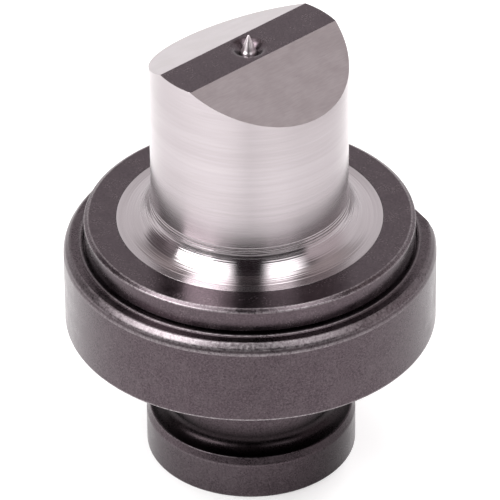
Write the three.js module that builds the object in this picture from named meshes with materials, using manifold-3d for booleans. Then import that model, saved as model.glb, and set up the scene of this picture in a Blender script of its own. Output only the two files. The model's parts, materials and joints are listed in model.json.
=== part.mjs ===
// A short live centre: a ground nose that turns on bearings inside a black housing with a grooved stud.
// Millimetres, +Z up along the axis of rotation. The origin is the centre of the stud's end face,
// and +X is the outward normal of the locating flat on the housing.

import * as THREE from "three";
import { mergeVertices } from "three/addons/utils/BufferGeometryUtils.js";
import Module from "manifold-3d";

const wasm = await Module();
wasm.setup();

// ---- driving dimensions ----

const GAP = 0.3; // clearance between pieces that touch or run together
const OUTER_SIDES = 40; // sides of the large turned pieces
const INNER_SIDES = 32; // sides of the bearing pieces

// heights of the outside, from the stud's end face up
const KNOB_TOP = 7.6;
const SHOULDER = 24.9;
const HOUSING_TOP = SHOULDER + 14.4;
const CAP_TOP = HOUSING_TOP + 4.45;
const RIDGE = CAP_TOP + 31.8;
const TIP = RIDGE + 2.35;

// radii of the outside
const KNOB_R = 17.1;
const NECK_R = 14;
const HOUSING_R = 30;
const CAP_R = 26.6;
const FOOT_R = 21.3;
const NOSE_R = 15.8;

const KNOB_CHAMFER = { radial: 0.5, axial: 1.35 };
const HOUSING_CHAMFER = { radial: 0.85, axial: 1.65 };
const CAP_CHAMFER = { radial: 0.65, axial: 0.4 };
const EDGE_BREAK = 0.3;
const NECK_FILLET = 1.9;
const NOSE_FILLET = 4.65;

const FLAT_DISTANCE = 27.1; // from the axis to the locating flat
const RIDGE_WIDTH = 7; // flat strip on top of the roof
const ROOF_SLOPE = THREE.MathUtils.degToRad(25);
const RIDGE_AZIMUTH = THREE.MathUtils.degToRad(12.1); // how far the free nose stands turned

// stud
const SPIGOT_R = 12.3;
const SPIGOT_TOP = 27.8;
const STUD_BORE_R = 9.6;
const STUD_FLOOR = 5;
const CAP_LIP = { width: 0.7, height: 0.25 }; // rounded lip of the housing round the cap
const REGISTER_DEPTH = 0.6; // shallow counterbore under the housing that takes the neck's end
const SPANNER_HOLE = { r: 2, depth: 4, pitchR: 12 };

// housing
const THREAD_BORE_R = 25.9;
const RACE_SEAT_R = 23.8;
const HOUSING_FLOOR = 30.2;
const RING_POCKET_R = 15.2;
const RING_POCKET_FLOOR = SPIGOT_TOP + 0.4;
const LOCK_SCREW = { r: 1, z: 26.5, start: 13, end: 24.2, socketR: 0.6, socketDepth: 1.2 };

// main ball bearing, 25 x 47 x 9.8
const RACE_BOTTOM = HOUSING_FLOOR + GAP;
const RACE_TOP = 40.3;
const OUTER_RACE_R = 23.5;
const INNER_RACE_BORE_R = 12.8;
const LAND_OUTER_R = 20.2;
const LAND_INNER_R = 15.8;
const BALL = { r: 3.2, pitchR: 18, z: (RACE_BOTTOM + RACE_TOP) / 2, count: 12 };
const BALL_CAGE = { inner: 17.1, outer: 18.9, height: 8.2, pocketR: 3.45 };
const RACEWAY_CLEARANCE = 0.2;

// thrust ball bearing at the tail
const THRUST_BALL = { r: 1.5, pitchR: 7.1, z: 11.35, count: 8 };
const THRUST_GROOVE_R = 1.65;
const THRUST_LOWER = { bottom: 8.4, top: 10.2, inner: 5.2, outer: 9.3 };
const THRUST_UPPER = { bottom: 12.5, top: 14.3, inner: 4.7, outer: 9.1 };
const THRUST_CAGE = { bottom: 10.7, height: 1.3, inner: 5, outer: 9.2, holeR: 1.65 };
const DISC_SPRING = { inner: 4.9, outer: 9.1, thickness: 0.7, dish: 0.5 };

// needle bearing in the stud
const NEEDLE = { r: 1, pitchR: 7.6, bottom: 17.1, length: 7.2, count: 12 };
const NEEDLE_CUP = { bottom: 15.2, top: 26.2, outer: 9.3, inner: 8.75, lipR: 7.2, lip: 0.6 };
const NEEDLE_CAGE = { bottom: 16.1, height: 9.2, inner: 7, outer: 8.2 };
const NEEDLE_WINDOW = { width: 2.6, height: 7.8 };

// spindle
const PILOT = { r: 4.4, bottom: 8.8 };
const TAIL_R = 6.5;
const TAIL_SHOULDER = THRUST_UPPER.top + GAP;
const JOURNAL_R = 12.5;
const JOURNAL_BOTTOM = SPIGOT_TOP + GAP;
const RING_GROOVE = { bottom: 28.9, top: RACE_BOTTOM, r: 11.6 };
const HUB_R = 15.5;
const HUB_BOTTOM = RACE_TOP + GAP;
const FLANGE_BOTTOM = 41.2;
const BORE_R = 3.15;

// centre point and its spring
const POINT_R = 1.25;
const POINT_HOLE_R = POINT_R + GAP;
const POINT_SHOULDER = RIDGE - 0.3;
const COUNTERSINK = { r: 2.3, depth: 0.45 };
const CHAMBER_TOP = 71;
const COLLAR = { r: 2.85, bottom: 69.2, top: CHAMBER_TOP - GAP };
const STEM = { r: 1.3, bottom: 60.3 };
const SPRING = { coilR: 2.2, wireR: 0.4, bottom: 58.3, top: 68.9, turns: 5 };
const SPRING_PLUG = { r: 2.85, bottom: 53, top: 58, socketR: 1.73, socketDepth: 2.5 };

// front cap
const CAP_RELIEF = { r: 26, top: HOUSING_TOP + 0.55 }; // undercut below its flange
const SKIRT = { outer: 25.6, bottom: 35.3 };
const O_RING = { r: 0.4, pitchR: 25.3, z: 38.05 };
const O_RING_GROOVE = { r: 24.75, bottom: 37.5, top: 38.6 };
const SEAL_GROOVE = { r: 23.1, bottom: 41.3, top: 42.9 };
const NOSE_SEAL = { inner: 21.75, outer: 22.8 };
const HOOK_HOLE = { r: 1.4, z: 41.6, depth: 2, azimuth: THREE.MathUtils.degToRad(60) };

// ---- materials ----

const finish = (color, roughness, metalness = 1) =>
  new THREE.MeshStandardMaterial({ color, roughness, metalness });

const GROUND_STEEL = finish(0xd2cacb, 0.32);
const BLACK_OXIDE = finish(0x5c5258, 0.45, 0.8);
const BEARING_STEEL = finish(0xb9babd, 0.2);
const SPRING_STEEL = finish(0x8b8d91, 0.35);
const BRASS = finish(0xb58f45, 0.35);
const CARBIDE = finish(0xc9c6cb, 0.15);
const RUBBER = finish(0x1c1c1e, 0.8, 0);

// ---- shape helpers ----

// A solid of revolution about Z. The outline is a closed list of [radius, z], anticlockwise.
function turned(outline, sides) {
  const points = outline.map(([r, z]) => new THREE.Vector2(r, z));
  points.push(points[0].clone());
  return new THREE.LatheGeometry(points, sides).rotateX(Math.PI / 2);
}

// A solid of revolution whose outline starts and ends on the axis.
function turnedSolid(outline, sides) {
  const points = outline.map(([r, z]) => new THREE.Vector2(r, z));
  return new THREE.LatheGeometry(points, sides).rotateX(Math.PI / 2);
}

// Points of an arc in the outline's plane, both ends included.
function arc([centreR, centreZ], radius, fromDegrees, toDegrees, steps) {
  return Array.from({ length: steps + 1 }, (_, i) => {
    const a = THREE.MathUtils.degToRad(fromDegrees + ((toDegrees - fromDegrees) * i) / steps);
    return [centreR + radius * Math.cos(a), centreZ + radius * Math.sin(a)];
  });
}

// A round bar between two heights, for cutting.
function bar(radius, bottom, top, sides) {
  const height = top - bottom;
  return new THREE.CylinderGeometry(radius, radius, height, sides)
    .rotateX(Math.PI / 2)
    .translate(0, 0, bottom + height / 2);
}

// The same bar laid along the radius at an azimuth, from one radius out to another.
function radialBar(radius, from, to, z, azimuth, sides) {
  return bar(radius, from, to, sides)
    .rotateY(Math.PI / 2)
    .translate(0, 0, z)
    .rotateZ(azimuth);
}

function solidOf(geometry) {
  const bare = geometry.clone();
  bare.deleteAttribute("normal");
  bare.deleteAttribute("uv");
  const merged = mergeVertices(bare, 1e-4);
  return new wasm.Manifold(
    new wasm.Mesh({
      numProp: 3,
      vertProperties: new Float32Array(merged.attributes.position.array),
      triVerts: new Uint32Array(merged.index.array),
    }),
  );
}

function cut(geometry, cutters) {
  const left = cutters.reduce((solid, c) => solid.subtract(solidOf(c)), solidOf(geometry));
  const mesh = left.getMesh();
  return new THREE.BufferGeometry()
    .setAttribute("position", new THREE.BufferAttribute(new Float32Array(mesh.vertProperties), 3))
    .setIndex(new THREE.BufferAttribute(new Uint32Array(mesh.triVerts), 1));
}

const around = (count, make) =>
  Array.from({ length: count }, (_, i) => make((2 * Math.PI * i) / count, i));

function piece(name, geometry, material) {
  const mesh = new THREE.Mesh(geometry, material);
  mesh.name = name;
  return mesh;
}

const numbered = (name, i) => `${name}_${String(i + 1).padStart(2, "0")}`;

// ---- housing body: everything that stands still ----

function housing() {
  const top = HOUSING_TOP;
  const recessR = CAP_R + GAP;
  const recessFloor = top - 0.6;
  const body = turned(
    [
      [SPIGOT_R + GAP, SHOULDER + REGISTER_DEPTH],
      [NECK_R + GAP, SHOULDER + REGISTER_DEPTH],
      [NECK_R + GAP, SHOULDER],
      [HOUSING_R - EDGE_BREAK, SHOULDER],
      [HOUSING_R, SHOULDER + EDGE_BREAK],
      [HOUSING_R, top - HOUSING_CHAMFER.axial],
      [HOUSING_R - HOUSING_CHAMFER.radial, top],
      [recessR + CAP_LIP.width, top],
      [recessR + CAP_LIP.width - 0.2, top + CAP_LIP.height * 0.8],
      [recessR + 0.25, top + CAP_LIP.height],
      [recessR, top + 0.05],
      [recessR, recessFloor],
      [THREAD_BORE_R, recessFloor],
      [THREAD_BORE_R, SKIRT.bottom - GAP],
      [RACE_SEAT_R, SKIRT.bottom - GAP],
      [RACE_SEAT_R, HOUSING_FLOOR],
      [RING_POCKET_R, HOUSING_FLOOR],
      [RING_POCKET_R, RING_POCKET_FLOOR],
      [SPIGOT_R + GAP, RING_POCKET_FLOOR],
    ],
    OUTER_SIDES,
  );
  const size = 2 * HOUSING_R;
  const flat = new THREE.BoxGeometry(size, size, size).translate(
    FLAT_DISTANCE + HOUSING_R,
    0,
    SHOULDER + HOUSING_R - 1,
  );
  const screwHole = radialBar(LOCK_SCREW.r + GAP, 10, HOUSING_R, LOCK_SCREW.z, 0, 12);
  return piece("housing", cut(body, [flat, screwHole]), BLACK_OXIDE);
}

function retentionStud() {
  const knobSide = KNOB_TOP - KNOB_CHAMFER.axial;
  const neckTop = SHOULDER + REGISTER_DEPTH - GAP;
  const body = turnedSolid(
    [
      [0, 0],
      [KNOB_R - EDGE_BREAK, 0],
      [KNOB_R, EDGE_BREAK],
      [KNOB_R, knobSide],
      [KNOB_R - KNOB_CHAMFER.radial, KNOB_TOP],
      ...arc([NECK_R + NECK_FILLET, KNOB_TOP + NECK_FILLET], NECK_FILLET, 270, 180, 4),
      [NECK_R, neckTop],
      [SPIGOT_R, neckTop],
      [SPIGOT_R, SPIGOT_TOP - 0.4],
      [SPIGOT_R - 0.4, SPIGOT_TOP],
      [STUD_BORE_R, SPIGOT_TOP],
      [STUD_BORE_R, STUD_FLOOR],
      [0, STUD_FLOOR],
    ],
    OUTER_SIDES,
  );
  const { r, depth, pitchR } = SPANNER_HOLE;
  const spannerHoles = around(2, (a) =>
    bar(r, -1, depth, 12).translate(pitchR, 0, 0).rotateZ(a + Math.PI / 2),
  );
  return piece("retention_stud", cut(body, spannerHoles), BLACK_OXIDE);
}

function frontCap() {
  const bore = FOOT_R + GAP;
  const body = turned(
    [
      [RACE_SEAT_R, SKIRT.bottom],
      [SKIRT.outer, SKIRT.bottom],
      [SKIRT.outer, O_RING_GROOVE.bottom],
      [O_RING_GROOVE.r, O_RING_GROOVE.bottom],
      [O_RING_GROOVE.r, O_RING_GROOVE.top],
      [SKIRT.outer, O_RING_GROOVE.top],
      [SKIRT.outer, HOUSING_TOP - GAP],
      [CAP_RELIEF.r, HOUSING_TOP - GAP],
      [CAP_RELIEF.r, CAP_RELIEF.top],
      [CAP_R, CAP_RELIEF.top],
      [CAP_R, CAP_TOP - CAP_CHAMFER.axial],
      [CAP_R - CAP_CHAMFER.radial, CAP_TOP],
      [bore, CAP_TOP],
      [bore, SEAL_GROOVE.top],
      [SEAL_GROOVE.r, SEAL_GROOVE.top],
      [SEAL_GROOVE.r, SEAL_GROOVE.bottom],
      [bore, SEAL_GROOVE.bottom],
      [bore, RACE_TOP + GAP],
      [RACE_SEAT_R, RACE_TOP + GAP],
    ],
    OUTER_SIDES,
  );
  const { r, z, depth, azimuth } = HOOK_HOLE;
  return piece(
    "front_cap",
    cut(body, [radialBar(r, CAP_R - depth, HOUSING_R, z, azimuth, 12)]),
    BLACK_OXIDE,
  );
}

function capORing() {
  const ring = new THREE.TorusGeometry(O_RING.pitchR, O_RING.r, 6, INNER_SIDES);
  return piece("cap_o_ring", ring.translate(0, 0, O_RING.z), RUBBER);
}

function noseSeal() {
  const bottom = SEAL_GROOVE.bottom + GAP;
  const top = SEAL_GROOVE.top - GAP;
  const { inner, outer } = NOSE_SEAL;
  const ring = [
    [inner, bottom],
    [outer, bottom],
    [outer, top],
    [inner, top],
  ];
  return piece("nose_seal", turned(ring, INNER_SIDES), RUBBER);
}

// Half-height of a raceway groove where it meets a land at the given radius.
const RACEWAY_R = BALL.r + RACEWAY_CLEARANCE;
const racewayAngle = (landR) =>
  THREE.MathUtils.radToDeg(Math.acos(Math.abs(landR - BALL.pitchR) / RACEWAY_R));

function bearingOuterRace() {
  const open = racewayAngle(LAND_OUTER_R);
  const outline = [
    [LAND_OUTER_R, RACE_BOTTOM],
    [OUTER_RACE_R, RACE_BOTTOM],
    [OUTER_RACE_R, RACE_TOP],
    [LAND_OUTER_R, RACE_TOP],
    ...arc([BALL.pitchR, BALL.z], RACEWAY_R, open, -open, 4),
  ];
  return piece("bearing_outer_race", turned(outline, INNER_SIDES), BEARING_STEEL);
}

function needleCup() {
  const { bottom, top, outer, inner, lipR, lip } = NEEDLE_CUP;
  const outline = [
    [lipR, bottom],
    [outer, bottom],
    [outer, top],
    [lipR, top],
    [lipR, top - lip],
    [inner, top - lip],
    [inner, bottom + lip],
    [lipR, bottom + lip],
  ];
  return piece("needle_cup", turned(outline, INNER_SIDES), BEARING_STEEL);
}

// Angle at which a thrust washer's face cuts the groove circle.
const thrustGrooveAngle = (faceZ) =>
  THREE.MathUtils.radToDeg(Math.asin(Math.abs(faceZ - THRUST_BALL.z) / THRUST_GROOVE_R));

function thrustWasherLower() {
  const { bottom, top, inner, outer } = THRUST_LOWER;
  const open = thrustGrooveAngle(top);
  const outline = [
    [inner, bottom],
    [outer, bottom],
    [outer, top],
    ...arc([THRUST_BALL.pitchR, THRUST_BALL.z], THRUST_GROOVE_R, -open, open - 180, 4),
    [inner, top],
  ];
  return piece("thrust_washer_lower", turned(outline, INNER_SIDES), BEARING_STEEL);
}

// Two dished washers under the thrust bearing, back to back: rising is +1, falling is -1.
function discSpring(name, bottom, rise) {
  const { inner, outer, thickness, dish } = DISC_SPRING;
  const innerZ = bottom + (rise > 0 ? 0 : dish);
  const outerZ = bottom + (rise > 0 ? dish : 0);
  const outline = [
    [inner, innerZ],
    [outer, outerZ],
    [outer, outerZ + thickness],
    [inner, innerZ + thickness],
  ];
  return piece(name, turned(outline, INNER_SIDES), SPRING_STEEL);
}

function studLockScrew() {
  const { r, z, start, end, socketR, socketDepth } = LOCK_SCREW;
  const shank = turnedSolid(
    [
      [0, start],
      [r - 0.3, start],
      [r, start + 0.3],
      [r, end],
      [0, end],
    ],
    12,
  );
  const socket = bar(socketR, end - socketDepth, end + 1, 6);
  const screw = cut(shank, [socket]).rotateY(Math.PI / 2).translate(0, 0, z);
  return piece("stud_lock_screw", screw, BLACK_OXIDE);
}

function standingPieces() {
  const discBottom = STUD_FLOOR + GAP;
  const { thickness, dish } = DISC_SPRING;
  return [
    housing(),
    retentionStud(),
    frontCap(),
    capORing(),
    noseSeal(),
    bearingOuterRace(),
    needleCup(),
    thrustWasherLower(),
    discSpring("disc_spring_lower", discBottom, -1),
    discSpring("disc_spring_upper", discBottom + dish + thickness + GAP, 1),
    studLockScrew(),
  ];
}

// ---- spindle body: everything that turns with the nose ----

function noseSpindle() {
  const body = turned(
    [
      [BORE_R, PILOT.bottom],
      [PILOT.r, PILOT.bottom],
      [PILOT.r, TAIL_SHOULDER],
      [TAIL_R, TAIL_SHOULDER],
      [TAIL_R, JOURNAL_BOTTOM - 1.5],
      [TAIL_R + 1.5, JOURNAL_BOTTOM],
      [JOURNAL_R, JOURNAL_BOTTOM],
      [JOURNAL_R, RING_GROOVE.bottom],
      [RING_GROOVE.r, RING_GROOVE.bottom],
      [RING_GROOVE.r, RING_GROOVE.top],
      [JOURNAL_R, RING_GROOVE.top],
      [JOURNAL_R, HUB_BOTTOM],
      [HUB_R, HUB_BOTTOM],
      [HUB_R, FLANGE_BOTTOM],
      [FOOT_R, FLANGE_BOTTOM],
      [FOOT_R, CAP_TOP],
      ...arc([NOSE_R + NOSE_FILLET, CAP_TOP + NOSE_FILLET], NOSE_FILLET, 270, 180, 6),
      [NOSE_R, RIDGE],
      [COUNTERSINK.r, RIDGE],
      [POINT_HOLE_R, RIDGE - COUNTERSINK.depth],
      [POINT_HOLE_R, CHAMBER_TOP],
      [BORE_R, CHAMBER_TOP],
    ],
    OUTER_SIDES,
  );
  // Each side of the roof is cut by a block that stands on the slope, hinged at the strip's edge.
  const slope = (side) =>
    new THREE.BoxGeometry(60, 40, 20)
      .translate(0, side * 20, 10)
      .rotateX(-side * ROOF_SLOPE)
      .translate(0, (side * RIDGE_WIDTH) / 2, RIDGE);
  return piece("nose_spindle", cut(body, [slope(1), slope(-1)]), GROUND_STEEL);
}

function bearingInnerRace() {
  const open = racewayAngle(LAND_INNER_R);
  const outline = [
    [INNER_RACE_BORE_R, RACE_BOTTOM],
    [LAND_INNER_R, RACE_BOTTOM],
    ...arc([BALL.pitchR, BALL.z], RACEWAY_R, 180 + open, 180 - open, 4),
    [LAND_INNER_R, RACE_TOP],
    [INNER_RACE_BORE_R, RACE_TOP],
  ];
  return piece("bearing_inner_race", turned(outline, INNER_SIDES), BEARING_STEEL);
}

// An open ring that snaps into the journal's groove, with a plier lug at each end.
function raceRetainingRing() {
  const inner = RING_GROOVE.r + GAP;
  const outer = 14;
  const lugR = 14.7;
  const mouth = THREE.MathUtils.degToRad(10);
  const lug = THREE.MathUtils.degToRad(14);
  const end = 2 * Math.PI - mouth;
  const shape = new THREE.Shape();
  shape.absarc(0, 0, inner, mouth, end, false);
  shape.absarc(0, 0, lugR, end, end - lug, true);
  shape.absarc(0, 0, outer, end - lug, mouth + lug, true);
  shape.absarc(0, 0, lugR, mouth + lug, mouth, true);
  shape.closePath();
  const bottom = RING_GROOVE.bottom + GAP;
  const depth = RING_GROOVE.top - GAP - bottom;
  const ring = new THREE.ExtrudeGeometry(shape, { depth, bevelEnabled: false, curveSegments: 12 });
  return piece("race_retaining_ring", ring.translate(0, 0, bottom), SPRING_STEEL);
}

function thrustWasherUpper() {
  const { bottom, top, inner, outer } = THRUST_UPPER;
  const open = thrustGrooveAngle(bottom);
  const outline = [
    [inner, bottom],
    ...arc([THRUST_BALL.pitchR, THRUST_BALL.z], THRUST_GROOVE_R, 180 - open, open, 4),
    [outer, bottom],
    [outer, top],
    [inner, top],
  ];
  return piece("thrust_washer_upper", turned(outline, INNER_SIDES), BEARING_STEEL);
}

class Helix extends THREE.Curve {
  getPoint(t, target = new THREE.Vector3()) {
    const angle = 2 * Math.PI * SPRING.turns * t;
    const bottom = SPRING.bottom + SPRING.wireR;
    const rise = SPRING.top - SPRING.bottom - 2 * SPRING.wireR;
    return target.set(
      SPRING.coilR * Math.cos(angle),
      SPRING.coilR * Math.sin(angle),
      bottom + rise * t,
    );
  }
}

function pointSpring() {
  const wire = new THREE.Shape().absarc(0, 0, SPRING.wireR, 0, 2 * Math.PI, false);
  const coil = new THREE.ExtrudeGeometry(wire, {
    extrudePath: new Helix(),
    steps: SPRING.turns * 12,
    curveSegments: 3,
  });
  return piece("point_spring", coil, SPRING_STEEL);
}

function springPlug() {
  const { r, bottom, top, socketR, socketDepth } = SPRING_PLUG;
  const socket = bar(socketR, bottom - 1, bottom + socketDepth, 6);
  return piece("spring_plug", cut(bar(r, bottom, top, 16), [socket]), BLACK_OXIDE);
}

function spindlePieces() {
  return [
    noseSpindle(),
    bearingInnerRace(),
    raceRetainingRing(),
    thrustWasherUpper(),
    pointSpring(),
    springPlug(),
  ];
}

// ---- centre point: a pin that springs back into the ridge ----

function centrePoint() {
  const pin = turnedSolid(
    [
      [0, STEM.bottom],
      [STEM.r, STEM.bottom],
      [STEM.r, COLLAR.bottom],
      [COLLAR.r, COLLAR.bottom],
      [COLLAR.r, COLLAR.top],
      [POINT_R, COLLAR.top],
      [POINT_R, POINT_SHOULDER],
      [0.12, TIP - 0.08],
      [0, TIP],
    ],
    16,
  );
  return piece("centre_point", pin, CARBIDE);
}

// ---- rolling sets: each cage with its balls or needles ----

function ballSet() {
  const { inner, outer, height, pocketR } = BALL_CAGE;
  const bottom = BALL.z - height / 2;
  const ring = turned(
    [
      [inner, bottom],
      [outer, bottom],
      [outer, bottom + height],
      [inner, bottom + height],
    ],
    INNER_SIDES,
  );
  const pockets = around(BALL.count, (a) => radialBar(pocketR, 15, 21, BALL.z, a, 12));
  const balls = around(BALL.count, (a, i) => {
    const ball = new THREE.SphereGeometry(BALL.r, 10, 6).rotateX(Math.PI / 2);
    const place = ball.translate(BALL.pitchR, 0, BALL.z).rotateZ(a);
    return piece(numbered("bearing_ball", i), place, BEARING_STEEL);
  });
  return [piece("ball_cage", cut(ring, pockets), BRASS), ...balls];
}

function thrustSet() {
  const { bottom, height, inner, outer, holeR } = THRUST_CAGE;
  const shape = new THREE.Shape().absarc(0, 0, outer, 0, 2 * Math.PI, false);
  shape.holes.push(new THREE.Path().absarc(0, 0, inner, 0, 2 * Math.PI, true));
  around(THRUST_BALL.count, (a) => {
    const { pitchR } = THRUST_BALL;
    const hole = new THREE.Path();
    hole.absarc(pitchR * Math.cos(a), pitchR * Math.sin(a), holeR, 0, 2 * Math.PI, true);
    shape.holes.push(hole);
  });
  const plate = new THREE.ExtrudeGeometry(shape, {
    depth: height,
    bevelEnabled: false,
    curveSegments: 6,
  }).translate(0, 0, bottom);
  const balls = around(THRUST_BALL.count, (a, i) => {
    const ball = new THREE.SphereGeometry(THRUST_BALL.r, 8, 5).rotateX(Math.PI / 2);
    const place = ball.translate(THRUST_BALL.pitchR, 0, THRUST_BALL.z).rotateZ(a);
    return piece(numbered("thrust_ball", i), place, BEARING_STEEL);
  });
  return [piece("thrust_cage", plate, BRASS), ...balls];
}

function needleSet() {
  const { bottom, height, inner, outer } = NEEDLE_CAGE;
  const tube = turned(
    [
      [inner, bottom],
      [outer, bottom],
      [outer, bottom + height],
      [inner, bottom + height],
    ],
    INNER_SIDES,
  );
  const middle = NEEDLE.bottom + NEEDLE.length / 2;
  const windows = around(NEEDLE.count, (a) =>
    new THREE.BoxGeometry(4, NEEDLE_WINDOW.width, NEEDLE_WINDOW.height)
      .translate(NEEDLE.pitchR, 0, middle)
      .rotateZ(a),
  );
  const needles = around(NEEDLE.count, (a, i) => {
    const needle = bar(NEEDLE.r, NEEDLE.bottom, NEEDLE.bottom + NEEDLE.length, 8);
    return piece(
      numbered("needle", i),
      needle.translate(NEEDLE.pitchR, 0, 0).rotateZ(a),
      BEARING_STEEL,
    );
  });
  return [piece("needle_cage", cut(tube, windows), BRASS), ...needles];
}

// ---- assembly ----

const liveCentre = new THREE.Group();
liveCentre.add(...standingPieces());
const spindle = new THREE.Group();
spindle.rotation.z = RIDGE_AZIMUTH;
spindle.add(...spindlePieces(), centrePoint());
liveCentre.add(spindle);
liveCentre.add(...ballSet(), ...thrustSet(), ...needleSet());

export default liveCentre;
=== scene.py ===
"""The looks of a short live centre: turned and ground steel, black oxide, and the bearings inside."""

import json
import math
import random

import bmesh
import bpy
from mathutils import Matrix, Quaternion, Vector

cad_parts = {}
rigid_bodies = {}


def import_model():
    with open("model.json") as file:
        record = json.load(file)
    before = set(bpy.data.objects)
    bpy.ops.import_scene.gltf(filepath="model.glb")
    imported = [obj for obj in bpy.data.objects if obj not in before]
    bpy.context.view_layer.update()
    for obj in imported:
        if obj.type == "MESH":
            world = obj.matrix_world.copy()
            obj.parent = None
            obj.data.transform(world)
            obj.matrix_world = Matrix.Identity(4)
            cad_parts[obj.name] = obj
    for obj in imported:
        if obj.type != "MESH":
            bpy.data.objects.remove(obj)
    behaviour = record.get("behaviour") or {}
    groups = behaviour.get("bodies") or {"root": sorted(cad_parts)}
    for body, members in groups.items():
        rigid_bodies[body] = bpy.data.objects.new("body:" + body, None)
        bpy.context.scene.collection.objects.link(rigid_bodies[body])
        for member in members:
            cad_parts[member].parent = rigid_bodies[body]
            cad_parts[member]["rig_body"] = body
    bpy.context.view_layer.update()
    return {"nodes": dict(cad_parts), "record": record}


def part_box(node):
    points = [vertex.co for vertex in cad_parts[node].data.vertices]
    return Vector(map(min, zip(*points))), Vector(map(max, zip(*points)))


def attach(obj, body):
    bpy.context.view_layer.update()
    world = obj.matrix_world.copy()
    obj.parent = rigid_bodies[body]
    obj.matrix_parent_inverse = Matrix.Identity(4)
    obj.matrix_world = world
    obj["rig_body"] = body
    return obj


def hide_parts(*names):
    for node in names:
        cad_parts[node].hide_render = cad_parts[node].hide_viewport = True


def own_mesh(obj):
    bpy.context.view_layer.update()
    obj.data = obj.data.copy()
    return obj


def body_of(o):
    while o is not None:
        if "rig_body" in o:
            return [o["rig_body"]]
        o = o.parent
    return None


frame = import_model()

MM = 0.001  # outlines are written in millimetres
SEGMENTS = 192  # sides of a large turned piece
SMALL_SEGMENTS = 96
ROLLING_SEGMENTS = 32
COIL_STEPS = 36  # in each turn of the spring
WIRE_SIDES = 12
CUTTER_SIDES = 32
CORNER_STEPS = 4  # in the arc over a broken corner
SHARP = math.radians(38)  # edges steeper than this are shaded sharp
SAME_PLACE = 1e-7  # points closer than this, in metres, are one


# ---- sizes, in millimetres, taken from the frame where it holds them ----


def low(node):
    """The lowest corner of a node's box."""
    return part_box(node)[0] / MM


def high(node):
    """Its highest corner."""
    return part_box(node)[1] / MM


CAP_RISE = 4.45  # how far the cap stands out of the housing

SHOULDER = low("housing").z
HOUSING_R = high("housing").y
FLAT_DISTANCE = high("housing").x
CAP_TOP = high("front_cap").z
HOUSING_TOP = CAP_TOP - CAP_RISE
CAP_R = high("front_cap").y
SKIRT_BOTTOM = low("front_cap").z
RIDGE = high("nose_spindle").z
SPINDLE_BOTTOM = low("nose_spindle").z
TIP = high("centre_point").z
POINT_BOTTOM = low("centre_point").z
KNOB_R = high("retention_stud").y
SPIGOT_TOP = high("retention_stud").z

# gaps between pieces that fit in each other
SPIGOT_GAP = 0.1
NECK_GAP = 0.15
REGISTER_GAP = 0.05
THREAD_GAP = 0.1
SKIRT_GAP = 0.3
SEAT_GAP = 0.03
POINT_GAP = 0.12

# the stud
KNOB_TOP = 7.6
KNOB_CHAMFER = (0.5, 1.35)  # across and down
NECK_R = 14.0
NECK_FILLET = 2.2
FILLET_STEP = 0.05  # keeps the points beside the fillet off its ends
SHADE_FADE = 2.5  # how far above the fillet its painted shade reaches
SPIGOT_R = 12.3
STUD_BORE_R = 9.6
STUD_FLOOR = 5.0
REGISTER_DEPTH = 0.6
SPANNER_HOLE_R = 2.0
SPANNER_HOLE_DEPTH = 4.0
SPANNER_PITCH_R = 12.0

# the housing
CHAMFER_START = 1.65  # below the housing's top
CHAMFER_BEND = (0.3, 0.75)
CHAMFER_WIDTH = 0.98
RECESS_R = CAP_R + 0.16
RECESS_DEPTH = 0.6
LIP_WIDTH = 0.85
LIP_CREST = LIP_WIDTH * 0.62
LIP_HEIGHT = 0.22
RELIEF_R = 26.0
RELIEF_TOP = HOUSING_TOP + 0.55
THREAD_R = 25.75
RACE_SEAT_R = 23.6
HOUSING_FLOOR = 30.2
RING_POCKET_R = 15.2
RING_POCKET_FLOOR = 28.2
LOCK_SCREW_Z = 26.5
LOCK_HOLE_R = 1.15
LOCK_HOLE_START = 10  # from the axis

# the cap
CAP_CHAMFER = (0.65, 0.42)  # across and down
RING_GROOVE_R = 24.75
RING_GROOVE = (37.5, 38.5)
SEAL_POCKET_R = 23.1
SEAL_POCKET = (41.3, 42.9)
CAP_FLOOR = 40.6
HOOK_HOLE_R = 1.4
HOOK_HOLE = (CAP_R - 2, CAP_R + 3)  # from the axis
HOOK_HOLE_Z = 41.6
HOOK_HOLE_AZIMUTH = math.radians(60)

# the spindle: its tail, journals and nose
BORE_R = 3.15
BORE_TOP = 71.0
TAIL_R = 4.4
TAIL_TOP = 14.6
NEEDLE_JOURNAL_R = 6.5
NEEDLE_JOURNAL_TOP = 26.6
HUB_CONE_R = 8.0
HUB_BOTTOM = 28.1
RACE_JOURNAL_R = 12.5
SNAP_GROOVE_R = 11.6
SNAP_GROOVE = (28.9, 30.5)
RACE_STOP_R = 15.5
RACE_STOP = 40.4
FOOT_BOTTOM = 41.2
FOOT_R = 21.38
CAP_BORE_R = 21.46
NOSE_R = 15.8
NOSE_FILLET = 4.65
ROOF_SLOPE = math.radians(25)
RIDGE_WIDTH = 7.0
RIDGE_AZIMUTH = math.radians(12.1)
COUNTERSINK_R = 2.6
COUNTERSINK_EDGE = 0.52
COUNTERSINK_DEPTH = 1.0

# the centre point and its spring
POINT_R = 1.25
POINT_SHOULDER = RIDGE - 0.6
POINT_CONE_R = 1.05
POINT_CONE_FOOT = 0.3  # above the shoulder
POINT_BELLY = (0.75, 1.65)  # radius, and how far below the tip
POINT_END = (0.16, 0.12)  # the same, where the cone is rounded off
POINT_STEM_R = 1.3
COLLAR_R = 2.85
COLLAR = (69.2, 70.7)
SPRING_BOTTOM = low("point_spring").z
SPRING_TOP = high("point_spring").z
SPRING_R = 2.2
WIRE_R = 0.38
SPRING_TURNS = 5

NEEDLE_R = 1.0
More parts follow.
